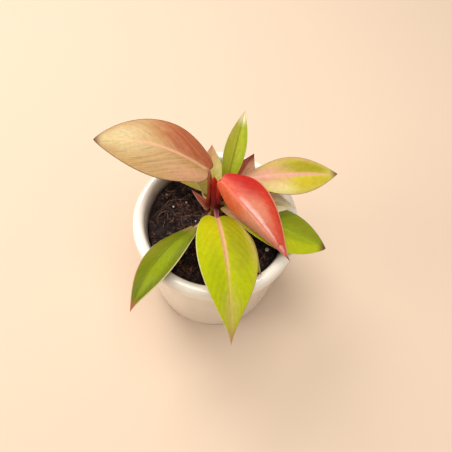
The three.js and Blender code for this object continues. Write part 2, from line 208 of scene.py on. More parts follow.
# Each leaf as in the model. base is where petiole and blade meet. heading is the compass angle of the
# midrib from +X and turn its change to the tip. pitch, roll and their tip values tilt the blade, fold and
# curl shape its halves. wide, point and shoulder give its outline. root is the angle and height on the
# stem where the petiole starts, via a point on its way and petiole its radius.
LEAF_COLUMNS = ("name base heading turn pitch tip_pitch length width roll tip_roll fold curl wide point "
                "shoulder root via petiole").split()
LEAF_ROWS = [
    ("leaf_upper_left", (-7.8, 13.9, 134), 169, 5, 38, -29, 84, 41.5, -9, -12, -1, -20,
     0.4, 0.8, 0.46, (192, 100), (-5.8, 10.4, 113), 2),
    ("leaf_back_small", (-6.2, 16.6, 101), 94, 0, 47, 42, 35.5, 21.5, -6, -2, 23, 1,
     0.4, 1.2, 0.41, (122, 91.5), (-4.4, 14.6, 96), 1.3),
    ("leaf_back_green", (5.2, 15.2, 118), 79, 2, 44, 17, 52, 19, 7, 3, 40, 2,
     0.43, 1.05, 0.4, (80, 98.5), (2.4, 15, 109), 1.4),
    ("leaf_back_maroon", (7.9, 17.8, 106), 49, 9, 39, 43, 31.5, 20, 22, 28, 28, 1,
     0.37, 1.1, 0.42, (52, 92), (4.8, 15, 99.5), 1.3),
    ("leaf_right", (18.3, 16.5, 125), 3.5, 10.5, 16, -12, 63.5, 32, -16, 11, 9, -21,
     0.44, 0.96, 0.38, (34, 105.4), (8, 12.2, 115), 1.5),
    ("leaf_cherry_red", (1.5, 4.6, 137), -41, 8, -9, -42, 72, 40, 43, 52, -27, -29,
     0.28, 1.3, 0.46, (300, 108.4), (-0.5, 6.2, 119), 1.9),
    ("leaf_right_small", (12.8, 4.1, 112), 4, -5, 14, -14, 42, 20.5, -1, -1, 15, -9,
     0.38, 1.05, 0.4, (338, 102.4), (7.2, 6.4, 109.2), 1.3),
    ("leaf_lower_right", (5.4, 4.8, 104), -17, 4, 6, -22, 78, 36.5, -27, 3, 7, -20,
     0.54, 0.83, 0.31, (345, 93.5), (5.6, 6.8, 99), 1.6),
    ("leaf_front", (1, -9.4, 112), -73.5, -10, 30, -47, 92, 42.5, -12, -36, 13, -10,
     0.4, 1.45, 0.49, (270, 97.4), (-0.2, -1, 106.4), 1.9),
    ("leaf_under_front", (7.2, -9.6, 102), -54, 5, 15, -14, 44, 19.5, 0, -1, 13, -11,
     0.36, 1.2, 0.42, (296, 91), (3.4, -1.8, 97), 1.3),
    ("leaf_front_left", (-15.2, -15.2, 106), -133, 24, 14, -47, 74.5, 30.5, 45, 7, 6, -25,
     0.35, 1.25, 0.5, (234, 92.4), (-6.8, -3.8, 99.6), 1.4),
    ("leaf_lower_left", (-12, 19.6, 101.6), 148, 2, 15, -10, 50, 19, 8, 2, 20, -8,
     0.41, 1.15, 0.36, (154, 95.6), (-10.2, 15.6, 97.6), 1.3),
    ("cataphyll", (-7.6, 7.2, 94.2), 151, 0, 47, 42, 19, 7.5, 0, 0, 45, 6,
     0.34, 0.95, 0.66, (194, 90.2), None, 1.4),
]
LEAVES = [dict(zip(LEAF_COLUMNS, row)) for row in LEAF_ROWS]

# Each leaf's colours. left and right are the halves, seen from the base. A wash is a pigment laid over
# them in an oval: its middle u and v (u along the midrib from 0 to 1, v across from -1 at the right margin
# to 1 at the left), its reach along u and v, and its strength. rib is (pigment, width in millimetres, where
# it has faded), margin is (left, right, width in millimetres), tip is (pigment, where it starts), petiole
# runs from the stem to the blade, and vein is (dark, pale, strength). Some rows have more: gloss is how
# strongly the skin mirrors, bare where the margin's colour starts, sweep how far the side veins lean to the
# tip, crease where a dent crosses the blade, and sheath how much broader than round the petiole's foot is.
LOOKS = {
    "leaf_upper_left": dict(
        left=TAN, right=TAN, rib=(PEACH, 1.3, 0.8), margin=(BROWN, BROWN, 0.8), tip=(BROWN, 0.95),
        washes=[(COPPER, 0.1, -0.55, 0.55, 0.85, 1), (COPPER, 0.32, -0.95, 0.3, 0.35, 0.6),
                (SAND, 0.85, 0, 0.5, 1.0, 0.9), (PEACH, 0.05, 0.6, 0.35, 0.6, 0.85)],
        petiole=(MAROON, RUST, CLAY), vein=(BROWN, SAND, 0.34), sheath=0.5, sweep=0.42),
    "leaf_back_small": dict(
        left=PRIMROSE, right=PRIMROSE, rib=(CREAM, 0.8, 0.6), margin=(TAN, TAN, 0.4), tip=(PINK, 0.82),
        washes=[(CITRUS, 0.15, -0.1, 0.5, 0.8, 0.8), (PEACH, 0.9, 0, 0.42, 1.4, 0.8)],
        petiole=(MAROON, COPPER, STRAW), vein=(TAN, CREAM, 0.2)),
    "leaf_back_green": dict(
        left=GRASS, right=GRASS, rib=(GRASS, 0.7, 0.9), margin=(STRAW, TAN, 0.35), tip=(CREAM, 0.88),
        washes=[(CITRUS, 0.55, 0.45, 0.75, 0.9, 0.8), (CITRUS, 0.5, -0.35, 0.6, 0.5, 0.5),
                (OLIVE, 0, 0.3, 0.3, 0.9, 0.4), (STRAW, 0.8, 0.8, 0.4, 0.5, 0.5),
                (MIST, 1, 0, 0.26, 1.8, 0.95)],
        petiole=(MAROON, OLIVE, LIME), vein=(MOSS, YELLOW, 0.2)),
    "leaf_back_maroon": dict(
        left=BRICK, right=PEACH, rib=(PINK, 0.8, 0.9), margin=(MAROON, MAROON, 0.4), tip=(MAROON, 0.86),
        washes=[(MAROON, 0.25, 0.9, 0.7, 0.35, 0.45), (PINK, 0.5, -0.3, 0.5, 0.4, 0.6),
                (MAROON, 0.95, 0, 0.25, 1.2, 0.6)],
        petiole=(WINE, MAROON, COPPER), vein=(MAROON, PINK, 0.3)),
    "leaf_right": dict(
        left=CITRUS, right=CITRUS, rib=(PINK, 1.3, 0.9), margin=(BROWN, BROWN, 0.35), tip=(BROWN, 0.94),
        washes=[(GOLD, 0.62, 0.45, 0.55, 0.6, 1), (OCHRE, 0.64, -0.5, 0.5, 0.5, 0.9),
                (STRAW, 0.7, 0, 0.3, 0.16, 0.7), (STRAW, 1, 0, 0.22, 1.4, 0.8),
                (CREAM, 0.28, -0.6, 0.3, 0.6, 0.6), (CLAY, 0.05, 0.1, 0.55, 1.2, 1),
                (PINK, 0.35, 0, 0.8, 0.17, 0.85), (TAN, 0.55, 1, 0.9, 0.28, 0.85),
                (TAN, 0.6, -1, 0.7, 0.2, 0.5)],
        petiole=(MAROON, COPPER, PEACH), vein=(TAN, CREAM, 0.18)),
    # On the cherry red leaf the two BLUSH washes are painted highlights: a broad sheen along the midrib and
    # a glint beside the crease
    "leaf_cherry_red": dict(
        left=SCARLET, right=CORAL, rib=(GUAVA, 1.2, 0.9), margin=(PEACH, PEACH, 1.3), tip=(WINE, 0.955),
        washes=[(SALMON, 0.38, 0.35, 0.42, 0.45, 0.8), (CHERRY, 0.03, 0.6, 0.42, 0.8, 1),
                (FLAME, 0.05, -0.5, 0.48, 1, 0.95), (ROSE, 0.9, 0, 0.3, 1.2, 0.6),
                (CHERRY, 0.5, 1, 0.7, 0.25, 0.75), (BLUSH, 0.5, 0.06, 0.42, 0.2, 0.95),
                (BLUSH, 0.85, 0.15, 0.07, 0.4, 0.7)],
        petiole=(WINE, CHERRY, SCARLET), vein=(SCARLET, SALMON, 0.24), bare=0.14, sheath=0.75, crease=0.8),
    "leaf_right_small": dict(
        left=MIST, right=MIST, rib=(GRASS, 2.2, 0.95), margin=(MIST, MIST, 0.7), tip=(MIST, 0.75),
        washes=[(MIST, 0.9, 0.3, 0.3, 0.9, 0.8), (LIME, 0.3, -0.5, 0.5, 0.3, 0.8)],
        petiole=(MAROON, OLIVE, LIME), vein=(MOSS, CREAM, 0.2)),
    "leaf_lower_right": dict(
        left=GRASS, right=LIME, rib=(LIME, 0.9, 0.8), margin=(BROWN, STRAW, 0.4), tip=(BROWN, 0.95),
        washes=[(PEACH, 0, -0.4, 0.38, 0.9, 0.95), (OLIVE, 0.8, 0.6, 0.4, 0.5, 0.6),
                (GRASS, 0.65, -0.15, 0.4, 0.3, 0.6)],
        petiole=(MAROON, COPPER, PEACH), vein=(MOSS, YELLOW, 0.18)),
    "leaf_front": dict(
        left=LIME, right=LIME, rib=(PEACH, 2.3, 0.6), margin=(TAN, CREAM, 0.7), tip=(TAN, 0.94),
        washes=[(OLIVE, 0.15, 0.5, 0.5, 0.75, 0.85), (YELLOW, 0.15, -0.4, 0.35, 0.6, 0.7),
                (YELLOW, 0.45, 0, 0.35, 0.1, 0.8), (STRAW, 0.78, 0, 0.45, 0.05, 0.9),
                (GRASS, 0.5, -0.45, 0.4, 0.35, 0.25), (TAN, 0.12, 0.95, 0.5, 0.25, 0.5),
                (STRAW, 0.88, 0, 0.36, 1.1, 0.6), (TAN, 1, 0, 0.2, 1.8, 0.75)],
        petiole=(WINE, MAUVE, PEACH), vein=(GRASS, YELLOW, 0.12), gloss=0.15, sheath=0.15),
    "leaf_under_front": dict(
        left=OLIVE, right=OLIVE, rib=(STRAW, 0.7, 0.8), margin=(TAN, TAN, 0.4), tip=(BROWN, 0.93),
        washes=[(MOSS, 0.4, 0.4, 0.5, 0.6, 0.5)],
        petiole=(MAROON, BROWN, OLIVE), vein=(MOSS, STRAW, 0.2)),
    "leaf_front_left": dict(
        left=FERN, right=FERN, rib=(FERN, 0.8, 0.7), margin=(CREAM, CREAM, 0.9), tip=(COPPER, 0.86),
        washes=[(OLIVE, 0.2, -0.6, 0.5, 0.6, 0.35), (TAN, 0, 0, 0.12, 1.1, 0.7),
                (GRASS, 0.5, 0.35, 0.6, 0.6, 0.6), (BRICK, 0.8, -1, 0.5, 0.22, 0.9),
                (PINK, 1, 0, 0.14, 1.5, 0.7)],
        petiole=(MAROON, STRAW, CREAM), vein=(MOSS, YELLOW, 0.15), gloss=0.12),
    "leaf_lower_left": dict(
        left=YELLOW, right=GRASS, rib=(CREAM, 0.7, 0.9), margin=(CREAM, CREAM, 0.6), tip=(TAN, 0.92),
        washes=[(STRAW, 0.1, 0.3, 0.5, 0.8, 0.7)],
        petiole=(MAROON, STRAW, STRAW), vein=(MOSS, CREAM, 0.2)),
    "cataphyll": dict(
        left=SALMON, right=SALMON, rib=(SALMON, 0.7, 0.95), margin=(BLUSH, MAROON, 0.5), tip=(BRICK, 0.9),
        washes=[(ROSE, 0.4, -0.2, 0.6, 0.6, 0.8), (MAROON, 0.05, -0.4, 0.4, 0.9, 0.6)],
        petiole=(WINE, MAROON, COPPER), vein=(MAROON, PINK, 0.25)),
}


# Small sums

def smooth(low, high, x):
    t = np.clip((x - low) / (high - low), 0, 1)
    return t * t * (3 - 2 * t)


def bell(x):
    return np.exp(-x ** 2)


def linear(screen):
    """A colour such as #ff8800 as the linear red, green, blue and alpha that shaders take."""
    channels = [int(screen[i:i + 2], 16) / 255 for i in (1, 3, 5)]
    return [c / 12.92 if c <= 0.04045 else ((c + 0.055) / 1.055) ** 2.4 for c in channels] + [1]


def unit(vectors):
    return vectors / np.maximum(np.linalg.norm(vectors, axis=-1, keepdims=True), 1e-12)


def wall_inside(z):
    """Radius of the pot's inner wall at a height."""
    return np.interp(z, [p[1] for p in WALL_INSIDE], [p[0] for p in WALL_INSIDE])


def curve_through(points):
    """Centripetal Catmull-Rom curve as points evenly spaced along it."""
    points = [np.array(p, float) for p in points]
    points = [2 * points[0] - points[1]] + points + [2 * points[-1] - points[-2]]
    path = []
    for a, b, c, d in zip(points, points[1:], points[2:], points[3:]):
        gaps = [max(np.linalg.norm(q - p) ** 0.5, 1e-4) for p, q in ((a, b), (b, c), (c, d))]
        knots = np.cumsum([0] + gaps)
        t = np.linspace(knots[1], knots[2], 100)[:, None]

        def blend(p, q, i, j):
            return p + (q - p) * (t - knots[i]) / (knots[j] - knots[i])

        ab, bc, cd = blend(a, b, 0, 1), blend(b, c, 1, 2), blend(c, d, 2, 3)
        path.append(blend(blend(ab, bc, 0, 2), blend(bc, cd, 1, 3), 1, 2))
    path = np.concatenate(path)
    walked = np.concatenate([[0], np.cumsum(np.linalg.norm(np.diff(path, axis=0), axis=1))])
    even = np.linspace(0, walked[-1], CURVE_POINTS)
    return np.stack([np.interp(even, walked, path[:, k]) for k in range(3)], 1)


def frames_along(path, first_up):
    """Directions up and to the side at each point of a path, carried along it without twist."""
    ahead = unit(np.gradient(path, axis=0))
    ups, up = [], np.array(first_up, float)
    for direction in ahead:
        up = up - direction * (up @ direction)
        up = up / np.linalg.norm(up)
        ups.append(up)
    ups = np.array(ups)
    return ups, np.cross(ahead, ups)


# Meshes

class Shape:
    """Points, faces, each face's material number and two sets of surface coordinates, as they are added."""

    def __init__(self):
        self.points, self.faces, self.slots, self.leaf, self.span = [], [], [], [], []

    def add(self, points, faces, slot=0, leaf=None, span=None):
        start = sum(len(p) for p in self.points)
        self.points.append(np.asarray(points, float))
        self.faces += [tuple(int(i) + start for i in face) for face in faces]
        self.slots += [slot] * len(faces)
        for rows, given in ((self.leaf, leaf), (self.span, span)):
            rows.append(np.zeros((len(points), 2)) if given is None else np.asarray(given, float))

    def build(self, name, materials, replaced=None):
        mesh = bpy.data.meshes.new(name)
        mesh.from_pydata((np.concatenate(self.points) * MM).tolist(), [], self.faces)
        mesh.polygons.foreach_set("material_index", self.slots)
        mesh.polygons.foreach_set("use_smooth", [True] * len(self.faces))
        corners = np.zeros(len(mesh.loops), np.int32)
        mesh.loops.foreach_get("vertex_index", corners)
        for label, values in (("Leaf", self.leaf), ("Span", self.span)):
            layer = mesh.uv_layers.new(name=label)
            layer.uv.foreach_set("vector", np.concatenate(values)[corners].astype(np.float32).ravel())
        for material in materials:
            mesh.materials.append(material)
        piece = bpy.data.objects.new(name, mesh)
        scene.collection.objects.link(piece)
        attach(piece, "root")
        if replaced:
            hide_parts(replaced)


def grid_faces(rows, columns, wrap=False):
    """Quads of a grid of points, row by row."""
    faces = []
    for i in range(rows - 1):
        for j in range(columns if wrap else columns - 1):
            a, b = i * columns + j, i * columns + (j + 1) % columns
            faces.append((a, b, b + columns, a + columns))
    return faces


def tube(shape, path, radii, sides, first_up, slot=0, leaf_along=(0, 1), groove=0, wings=0):
    """A round bar with closed ends. groove is the depth of a channel along its upper side, as a share, and
    wings how much wider than round it is at each point."""
    ups, across = frames_along(path, first_up)
    angles = np.linspace(-np.pi, np.pi, sides, endpoint=False)
    depth = 1 - groove * bell(angles / 0.55)
    wide = np.broadcast_to(1 + np.asarray(wings, float), len(path))[:, None, None]
    ring = np.cos(angles)[None, :, None] * ups[:, None]
    ring = ring + np.sin(angles)[None, :, None] * across[:, None] * wide
    points = path[:, None] + ring * (np.asarray(radii)[:, None] * depth)[..., None]
    rows = len(path)
    points = np.concatenate([points.reshape(-1, 3), path[:1], path[-1:]])
    along = np.append(np.repeat(np.linspace(*leaf_along, rows), sides), leaf_along)
    around = np.append(np.tile(angles / (2 * np.pi) + 0.5, rows), [0, 0])
    faces = grid_faces(rows, sides, wrap=True)
    first, last = rows * sides, rows * sides + 1
    for j in range(sides):
        faces.append((first, (j + 1) % sides, j))
    for j in range(sides):
        end = (rows - 1) * sides
        faces.append((last, end + j, end + (j + 1) % sides))
    shape.add(points, faces, slot, np.stack([along, around], 1))


# Shader nodes

class Shader:
    """A material's nodes, with one short call for each kind that is used here."""

    def __init__(self, name):
        self.material = bpy.data.materials.new(name)
        self.material.use_nodes = True
        self.tree = self.material.node_tree
        self.surface = self.tree.nodes["Principled BSDF"]
        self.output = self.tree.nodes["Material Output"]

    def feed(self, socket, value):
        """Links another node's output to a socket, or sets it to a number, a vector or a screen colour."""
        if isinstance(value, bpy.types.NodeSocket):
            self.tree.links.new(value, socket)
        else:
            socket.default_value = linear(value) if isinstance(value, str) else value

    def set(self, **sockets):
        for key, value in sockets.items():
            self.feed(self.surface.inputs[key.replace("_", " ")], value)

    def node(self, kind, inputs=(), **settings):
        node = self.tree.nodes.new(kind)
        for key, value in settings.items():
            setattr(node, key, value)
        for key, value in dict(inputs).items():
            self.feed(node.inputs[key], value)
        return node

    def math(self, operation, a, b=0.0, c=0.0):
        return self.node("ShaderNodeMath", {0: a, 1: b, 2: c}, operation=operation).outputs[0]

    def times(self, a, b):
        return self.math("MULTIPLY", a, b)

    def vector(self, operation, a, b=(0, 0, 0), c=(0, 0, 0), output="Vector"):
        return self.node("ShaderNodeVectorMath", {0: a, 1: b, 2: c}, operation=operation).outputs[output]

    def map(self, value, low, high, to_low=0.0, to_high=1.0):
        inputs = {"Value": value, "From Min": low, "From Max": high, "To Min": to_low, "To Max": to_high}
        return self.node("ShaderNodeMapRange", inputs, interpolation_type="SMOOTHSTEP").outputs["Result"]

    def mix(self, factor, a, b, blend="MIX"):
        inputs = {0: factor, 6: a, 7: b}
        return self.node("ShaderNodeMix", inputs, data_type="RGBA", blend_type=blend).outputs[2]

    def ramp(self, factor, stops):
        node = self.node("ShaderNodeValToRGB", {"Fac": factor})
        stops = [(place, linear(colour)) for place, colour in stops]
        elements = node.color_ramp.elements
        for (place, colour), element in zip((stops[0], stops[-1]), elements):
            element.position, element.color = place, colour
        for place, colour in stops[1:-1]:
            elements.new(place).color = colour
        return node.outputs["Color"]

    def noise(self, vector, scale, detail, rough):
        inputs = {"Vector": vector, "Scale": scale, "Detail": detail, "Roughness": rough}
        return self.node("ShaderNodeTexNoise", inputs).outputs["Fac"]

    def place(self):
        return self.node("ShaderNodeTexCoord").outputs["Object"]

    def coordinates(self, layer):
        return self.node("ShaderNodeUVMap", uv_map=layer).outputs["UV"]

    def join(self, x, y, z=0.0):
        return self.node("ShaderNodeCombineXYZ", {0: x, 1: y, 2: z}).outputs[0]

    def parts(self, vector):
        return self.node("ShaderNodeSeparateXYZ", {"Vector": vector}).outputs

    def bump(self, height, depth, before=None):
        """A dent or rise of depth millimetres, laid over the one before."""
        inputs = {"Height": height, "Distance": depth * MM}
        if before is not None:
            inputs["Normal"] = before
        return self.node("ShaderNodeBump", inputs).outputs["Normal"]

    def shine_through(self, colour, share, normal):
        """Mixes in light that passes through from behind."""
        thin = self.node("ShaderNodeBsdfTranslucent", {"Color": colour, "Normal": normal}).outputs[0]
        mixed = self.node("ShaderNodeMixShader", {0: share, 1: self.surface.outputs[0], 2: thin})
        self.tree.links.new(mixed.outputs[0], self.output.inputs["Surface"])


# Pot

def rounded(profile, passes):
    """Cuts the corners of an open outline, keeping its ends."""
    points = np.array(profile, float)
    for _ in range(passes):
        cut = np.stack([0.75 * points[:-1] + 0.25 * points[1:], 0.25 * points[:-1] + 0.75 * points[1:]], 1)
        points = np.concatenate([points[:1], cut.reshape(-1, 2)[1:-1], points[-1:]])
    return points


def glaze():
    s = Shader("white_glaze")
    place = s.place()
    clouds = s.noise(place, 28, 4, 0.6)
    specks = s.noise(place, 900, 2, 0.5)
    lip, body = (s.mix(s.map(clouds, 0.3, 0.75), *pair) for pair in (GLAZE_LIP, GLAZE_BODY_WITH_PAINTED_SHADE))
    height = s.parts(place)[2]
    # Painted shade and painted warm floor reflection: below the lip the body takes the darker, warmer glaze
    colour = s.mix(s.map(height, 0.07, 0.09), body, lip)
    # Brown laid on the inner wall, darkest next to the soil
    radius = s.vector("LENGTH", s.vector("MULTIPLY", place, (1, 1, 0)), output="Value")
    uneven = s.times(s.noise(place, 90, 4, 0.6), 0.006)
    inside = s.times(s.map(radius, 0.0535, 0.051), s.map(height, 0.06, 0.07))
    brown_near_soil = s.times(inside, s.map(s.math("ADD", height, uneven), 0.1, 0.09, 0, 0.75))
    colour = s.mix(brown_near_soil, colour, INNER_WALL_BROWN)
    colour = s.mix(s.map(specks, 0.71, 0.78, 0, 0.25), colour, GLAZE_SPECK)
    s.set(Base_Color=colour, Roughness=s.map(clouds, 0.25, 0.8, 0.1, 0.2), IOR=1.52)
    s.set(Coat_Weight=0.35, Coat_Roughness=0.06)
    ripple = s.bump(s.noise(place, 55, 3, 0.5), 0.25)
    s.set(Normal=s.bump(s.noise(place, 420, 2, 0.5), 0.02, ripple))
    return s.material


def bisque():
    s = Shader("bare_clay_foot")
    place = s.place()
    grain = s.noise(place, 1400, 4, 0.7)
    s.set(Base_Color=s.mix(s.map(grain, 0.3, 0.7), *BARE_CLAY), Roughness=0.85)
    s.set(Normal=s.bump(grain, 0.06))
    return s.material


def make_pot():
    lip, top, foot = LIP_RADIUS, POT_HEIGHT, POT_HEIGHT - LIP_HEIGHT
    floor_edge = WALL_INSIDE[0][0]
    outline = [
        (BASE_RADIUS - 1.6, 0), (BASE_RADIUS - 0.5, 0.5), (BASE_RADIUS, 1.6),
        (BODY_TOP_RADIUS - 0.2, foot - 2), (BODY_TOP_RADIUS, foot), (lip - 0.7, foot + 0.6),
        (lip, foot + 2.4), (lip, top - 4.5), (lip - 0.7, top - 2), (lip - 2.2, top - 0.5), (lip - 3.8, top),
        (MOUTH_RADIUS + 2.6, top), (MOUTH_RADIUS + 1, top - 0.8), (MOUTH_RADIUS, top - 2.4),
        *reversed(WALL_INSIDE), (floor_edge - 1.2, FLOOR_THICKNESS + 1.2), (floor_edge - 4, FLOOR_THICKNESS),
        (20, FLOOR_THICKNESS),
    ]
    profile = rounded(outline, CORNER_PASSES)
    angles = np.linspace(0, 2 * np.pi, POT_SEGMENTS, endpoint=False)
    circle = np.stack([np.cos(angles), np.sin(angles)], 1)
    points = np.concatenate([
        np.concatenate([circle * r, np.full((POT_SEGMENTS, 1), z)], 1) for r, z in profile])
    faces = grid_faces(len(profile), POT_SEGMENTS, wrap=True)
    last = (len(profile) - 1) * POT_SEGMENTS
    shape = Shape()
    shape.add(points, faces + [tuple(range(last, last + POT_SEGMENTS))])
    shape.add(points[:POT_SEGMENTS], [tuple(reversed(range(POT_SEGMENTS)))], slot=1)
    shape.build("pot_glazed", [glaze(), bisque()], "pot")


# Potting mix

def soil_height(x, y):
    """The model's own soil: a low heap round the stem and on the left, with lumps all over."""
    heap = 1.5 * np.exp(-((x + 1) ** 2 + (y - 9) ** 2) / 260)
    heap = heap + 1.6 * np.exp(-((x + 30) ** 2 + (y - 14) ** 2) / 420)
    lumps = 0.55 * np.sin(0.43 * x + 0.9) * np.cos(0.37 * y)
    lumps = lumps + 0.4 * np.sin(0.81 * x - 0.66 * y) + 0.3 * np.cos(1.13 * y + 0.54 * x)
    return SOIL_TOP - 0.6 + heap + lumps


def disc_grid(count):
    """An even grid of points laid over the unit disc, each ring of the square becoming a circle."""
    a, b = np.meshgrid(np.linspace(-1, 1, count), np.linspace(-1, 1, count), indexing="ij")
    radius = np.maximum(np.abs(a), np.abs(b))
    safe = np.where(radius == 0, 1, radius)
    steep = np.abs(a) > np.abs(b)
    angle = np.where(steep, np.pi / 4 * b / np.where(steep, safe * np.sign(a), 1),
                     np.pi / 2 - np.pi / 4 * a / np.where(steep, 1, safe * np.where(b < 0, -1, 1)))
    way = np.where(steep, np.sign(a), np.where(b < 0, -1, 1)) * radius
    return way * np.cos(angle), way * np.sin(angle)


def disc_spot(rng, reach):
    radius, angle = reach * math.sqrt(rng.random()), 2 * math.pi * rng.random()
    return radius * math.cos(angle), radius * math.sin(angle)


def crumbly(x, y, rng):
    """Height of the crumbs that cover the soil, above its own surface."""
    height = np.full(x.shape, -0.8)
    for _ in range(LUMPS):
        cx, cy = disc_spot(rng, SOIL_RADIUS + 1)
        size = 0.7 + 2.3 * rng.random() ** 2.2
        long_way, turn = 1 + 0.6 * rng.random(), math.pi * rng.random()
        near = (np.abs(x - cx) < size * long_way) & (np.abs(y - cy) < size * long_way)
        dx, dy = x[near] - cx, y[near] - cy
        p = (dx * math.cos(turn) + dy * math.sin(turn)) / long_way
        q = dy * math.cos(turn) - dx * math.sin(turn)
        inside = 1 - (p * p + q * q) / size ** 2
        dome = np.where(inside > 0, 0.62 * size * np.sqrt(np.maximum(inside, 0)), 0)
        height[near] = np.maximum(height[near], dome - 0.45 - 0.25 * size * rng.random())
    return height


def soil_material(name, tones, shift=0.0):
    dark, light, rust = tones
    s = Shader(name)
    place = s.place()
    grain = s.noise(place, 520, 8, 0.7)
    patches = s.noise(place, 130, 5, 0.65)
    fibres = s.noise(s.vector("MULTIPLY", place, (1, 3.4, 1)), 420, 5, 0.6)
    colour = s.mix(s.map(grain, 0.38, 0.66), dark, light)
    # Painted shade: noise patches pulled towards the dark tone, standing in for the shade in hollows between
    # crumbs
    painted_hollow_shade = s.map(s.noise(place, 240, 4, 0.6), 0.44, 0.6, 0.92, 0)
    colour = s.mix(painted_hollow_shade, colour, dark)
    colour = s.mix(s.map(s.times(patches, fibres), 0.26 - shift, 0.42 - shift), colour, rust)
    s.set(Base_Color=colour, Roughness=s.map(patches, 0.3, 0.7, 0.75, 1.0), Specular_IOR_Level=0.25)
    rough = s.bump(s.noise(place, 700, 6, 0.75), 0.45)
    s.set(Normal=s.bump(s.noise(place, 2600, 4, 0.7), 0.12, rough))
    return s.material


def make_soil():
    """Builds the mix down to the pot's floor and gives the places of its top points."""
    rng = np.random.default_rng(11)
    x, y = disc_grid(SOIL_GRID)
    x, y = x * SOIL_RADIUS, y * SOIL_RADIUS
    radius = np.hypot(x, y)
    z = soil_height(x, y) + crumbly(x, y, rng)
    ripple = rng.standard_normal(x.shape)
    for _ in range(2):
        ripple = (ripple + np.roll(ripple, 1, 0) + np.roll(ripple, 1, 1) + np.roll(ripple, -1, 0)) / 4
    z = z + 0.35 * ripple
    z = z + (SOIL_TOP - 1 - z) * smooth(SOIL_RADIUS - 1.5, SOIL_RADIUS, radius)
    stem_gap = np.hypot(x - STEM_SPOT[0], y - STEM_SPOT[1])
    z = z + 0.5 * bell((stem_gap - 6) / 2.5)
    n = SOIL_GRID
    top = np.stack([x, y, z], -1).reshape(-1, 3)
    shape = Shape()
    edge = [i * n for i in range(n - 1)] + [(n - 1) * n + j for j in range(n - 1)]
    edge += [i * n + n - 1 for i in range(n - 1, 0, -1)] + list(range(n - 1, 0, -1))
    faces = [face[::-1] for face in grid_faces(n, n)]
    points = [top]
    ring = np.array(edge)
    around = np.arctan2(top[ring, 1], top[ring, 0])
    previous = ring
    for depth in SOIL_RINGS:
        reach = wall_inside(depth) - (0.45 if depth > 10 else 4.4)
        low = np.stack([reach * np.cos(around), reach * np.sin(around), np.full(len(ring), depth)], 1)
        start = sum(len(p) for p in points)
        points.append(low)
        current = np.arange(start, start + len(ring))
        for k in range(len(ring)):
            m = (k + 1) % len(ring)
            faces.append((previous[m], previous[k], current[k], current[m]))
        previous = current
    faces.append(tuple(reversed(previous)))
    shape.add(np.concatenate(points), faces)
    shape.build("potting_mix", [soil_material("potting_mix", SOIL_TONES)], "soil")
    return x, y, z


def ground_at(field):
    """A function that gives the height of the finished soil at a place."""
    xs, ys, zs = (part.reshape(-1) for part in field)
    cell = 1.0
    side = int(2 * SOIL_RADIUS / cell) + 3
    column = ((xs + SOIL_RADIUS) / cell + 1).astype(int) * side + ((ys + SOIL_RADIUS) / cell + 1).astype(int)
    total = np.bincount(column, zs, side * side)
    count = np.bincount(column, minlength=side * side)
    table = np.where(count > 0, total / np.maximum(count, 1), SOIL_TOP - 1).reshape(side, side)

    def height(px, py):
        gx, gy = (px + SOIL_RADIUS) / cell + 0.5, (py + SOIL_RADIUS) / cell + 0.5
        i, j = int(np.clip(gx, 0, side - 2)), int(np.clip(gy, 0, side - 2))
        fx, fy = min(max(gx - i, 0), 1), min(max(gy - j, 0), 1)
        low = table[i, j] * (1 - fx) + table[i + 1, j] * fx
        high = table[i, j + 1] * (1 - fx) + table[i + 1, j + 1] * fx
        return low * (1 - fy) + high * fy

    return height


def ball(levels):
    """Points and faces of a ball of radius 1 made of small triangles."""
    mesh = bpy.data.meshes.new("ball")
    bm = bmesh.new()
    bmesh.ops.create_icosphere(bm, subdivisions=levels, radius=1)
    bm.to_mesh(mesh)
    bm.free()
    points = np.array([v.co[:] for v in mesh.vertices])
    faces = [tuple(p.vertices) for p in mesh.polygons]
    bpy.data.meshes.remove(mesh)
    return points, faces


def lump(form, rng, size, stretch, roughness):
    """An angular grain: a ball dented by a few random planes, then stretched and turned."""
    points = form.copy()
    for _ in range(9):
        normal = unit(rng.standard_normal(3))
        limit = 0.55 + 0.35 * rng.random()
        over = points @ normal - limit
        points = points - np.outer(np.maximum(over, 0) * 0.85, normal)
    points = points * (1 + roughness * rng.standard_normal((len(points), 1)))
    points = points * np.array(stretch) * size
    turn = Matrix.Rotation(2 * math.pi * rng.random(), 3, "Z")
    lean = Matrix.Rotation(0.6 * rng.standard_normal(), 3, "X")
    return points @ np.array(turn @ lean).T


def random_spot(rng, reach, keep_off=STEM_CLEARANCE):
    """A place on the soil that keeps off the stem."""
    while True:
        x, y = disc_spot(rng, reach)
        if math.hypot(x - STEM_SPOT[0], y - STEM_SPOT[1]) > keep_off:
            return x, y


def make_crumbs(height):
    rng = np.random.default_rng(23)
    form, faces = ball(2)
    shape = Shape()
    for _ in range(CRUMBS):
        x, y = random_spot(rng, CRUMB_REACH)
        size = 0.55 + 1.25 * rng.random() ** 2
        stretch = (1, 0.6 + 0.4 * rng.random(), 0.5 + 0.3 * rng.random())
        grain = lump(form, rng, size, stretch, 0.03)
        shape.add(grain + [x, y, height(x, y) + 0.12 * size], faces)
    shape.build("soil_crumbs", [soil_material("soil_crumbs", CRUMB_TONES, 0.02)])


def make_flakes(height):
    """Thin chips of reddish bark that lie about on the soil."""
    rng = np.random.default_rng(31)
    form, faces = ball(2)
    shape = Shape()
    for _ in range(FLAKES):
        x, y = random_spot(rng, LITTER_REACH)
        size = 1 + 1.6 * rng.random() ** 2
        flake = lump(form, rng, size, (1.25, 0.35 + 0.25 * rng.random(), 0.17), 0.04)
        shape.add(flake + [x, y, height(x, y) + 0.45], faces)
    shape.build("bark_flakes", [soil_material("bark_flakes", BARK_TONES, 0.06)])


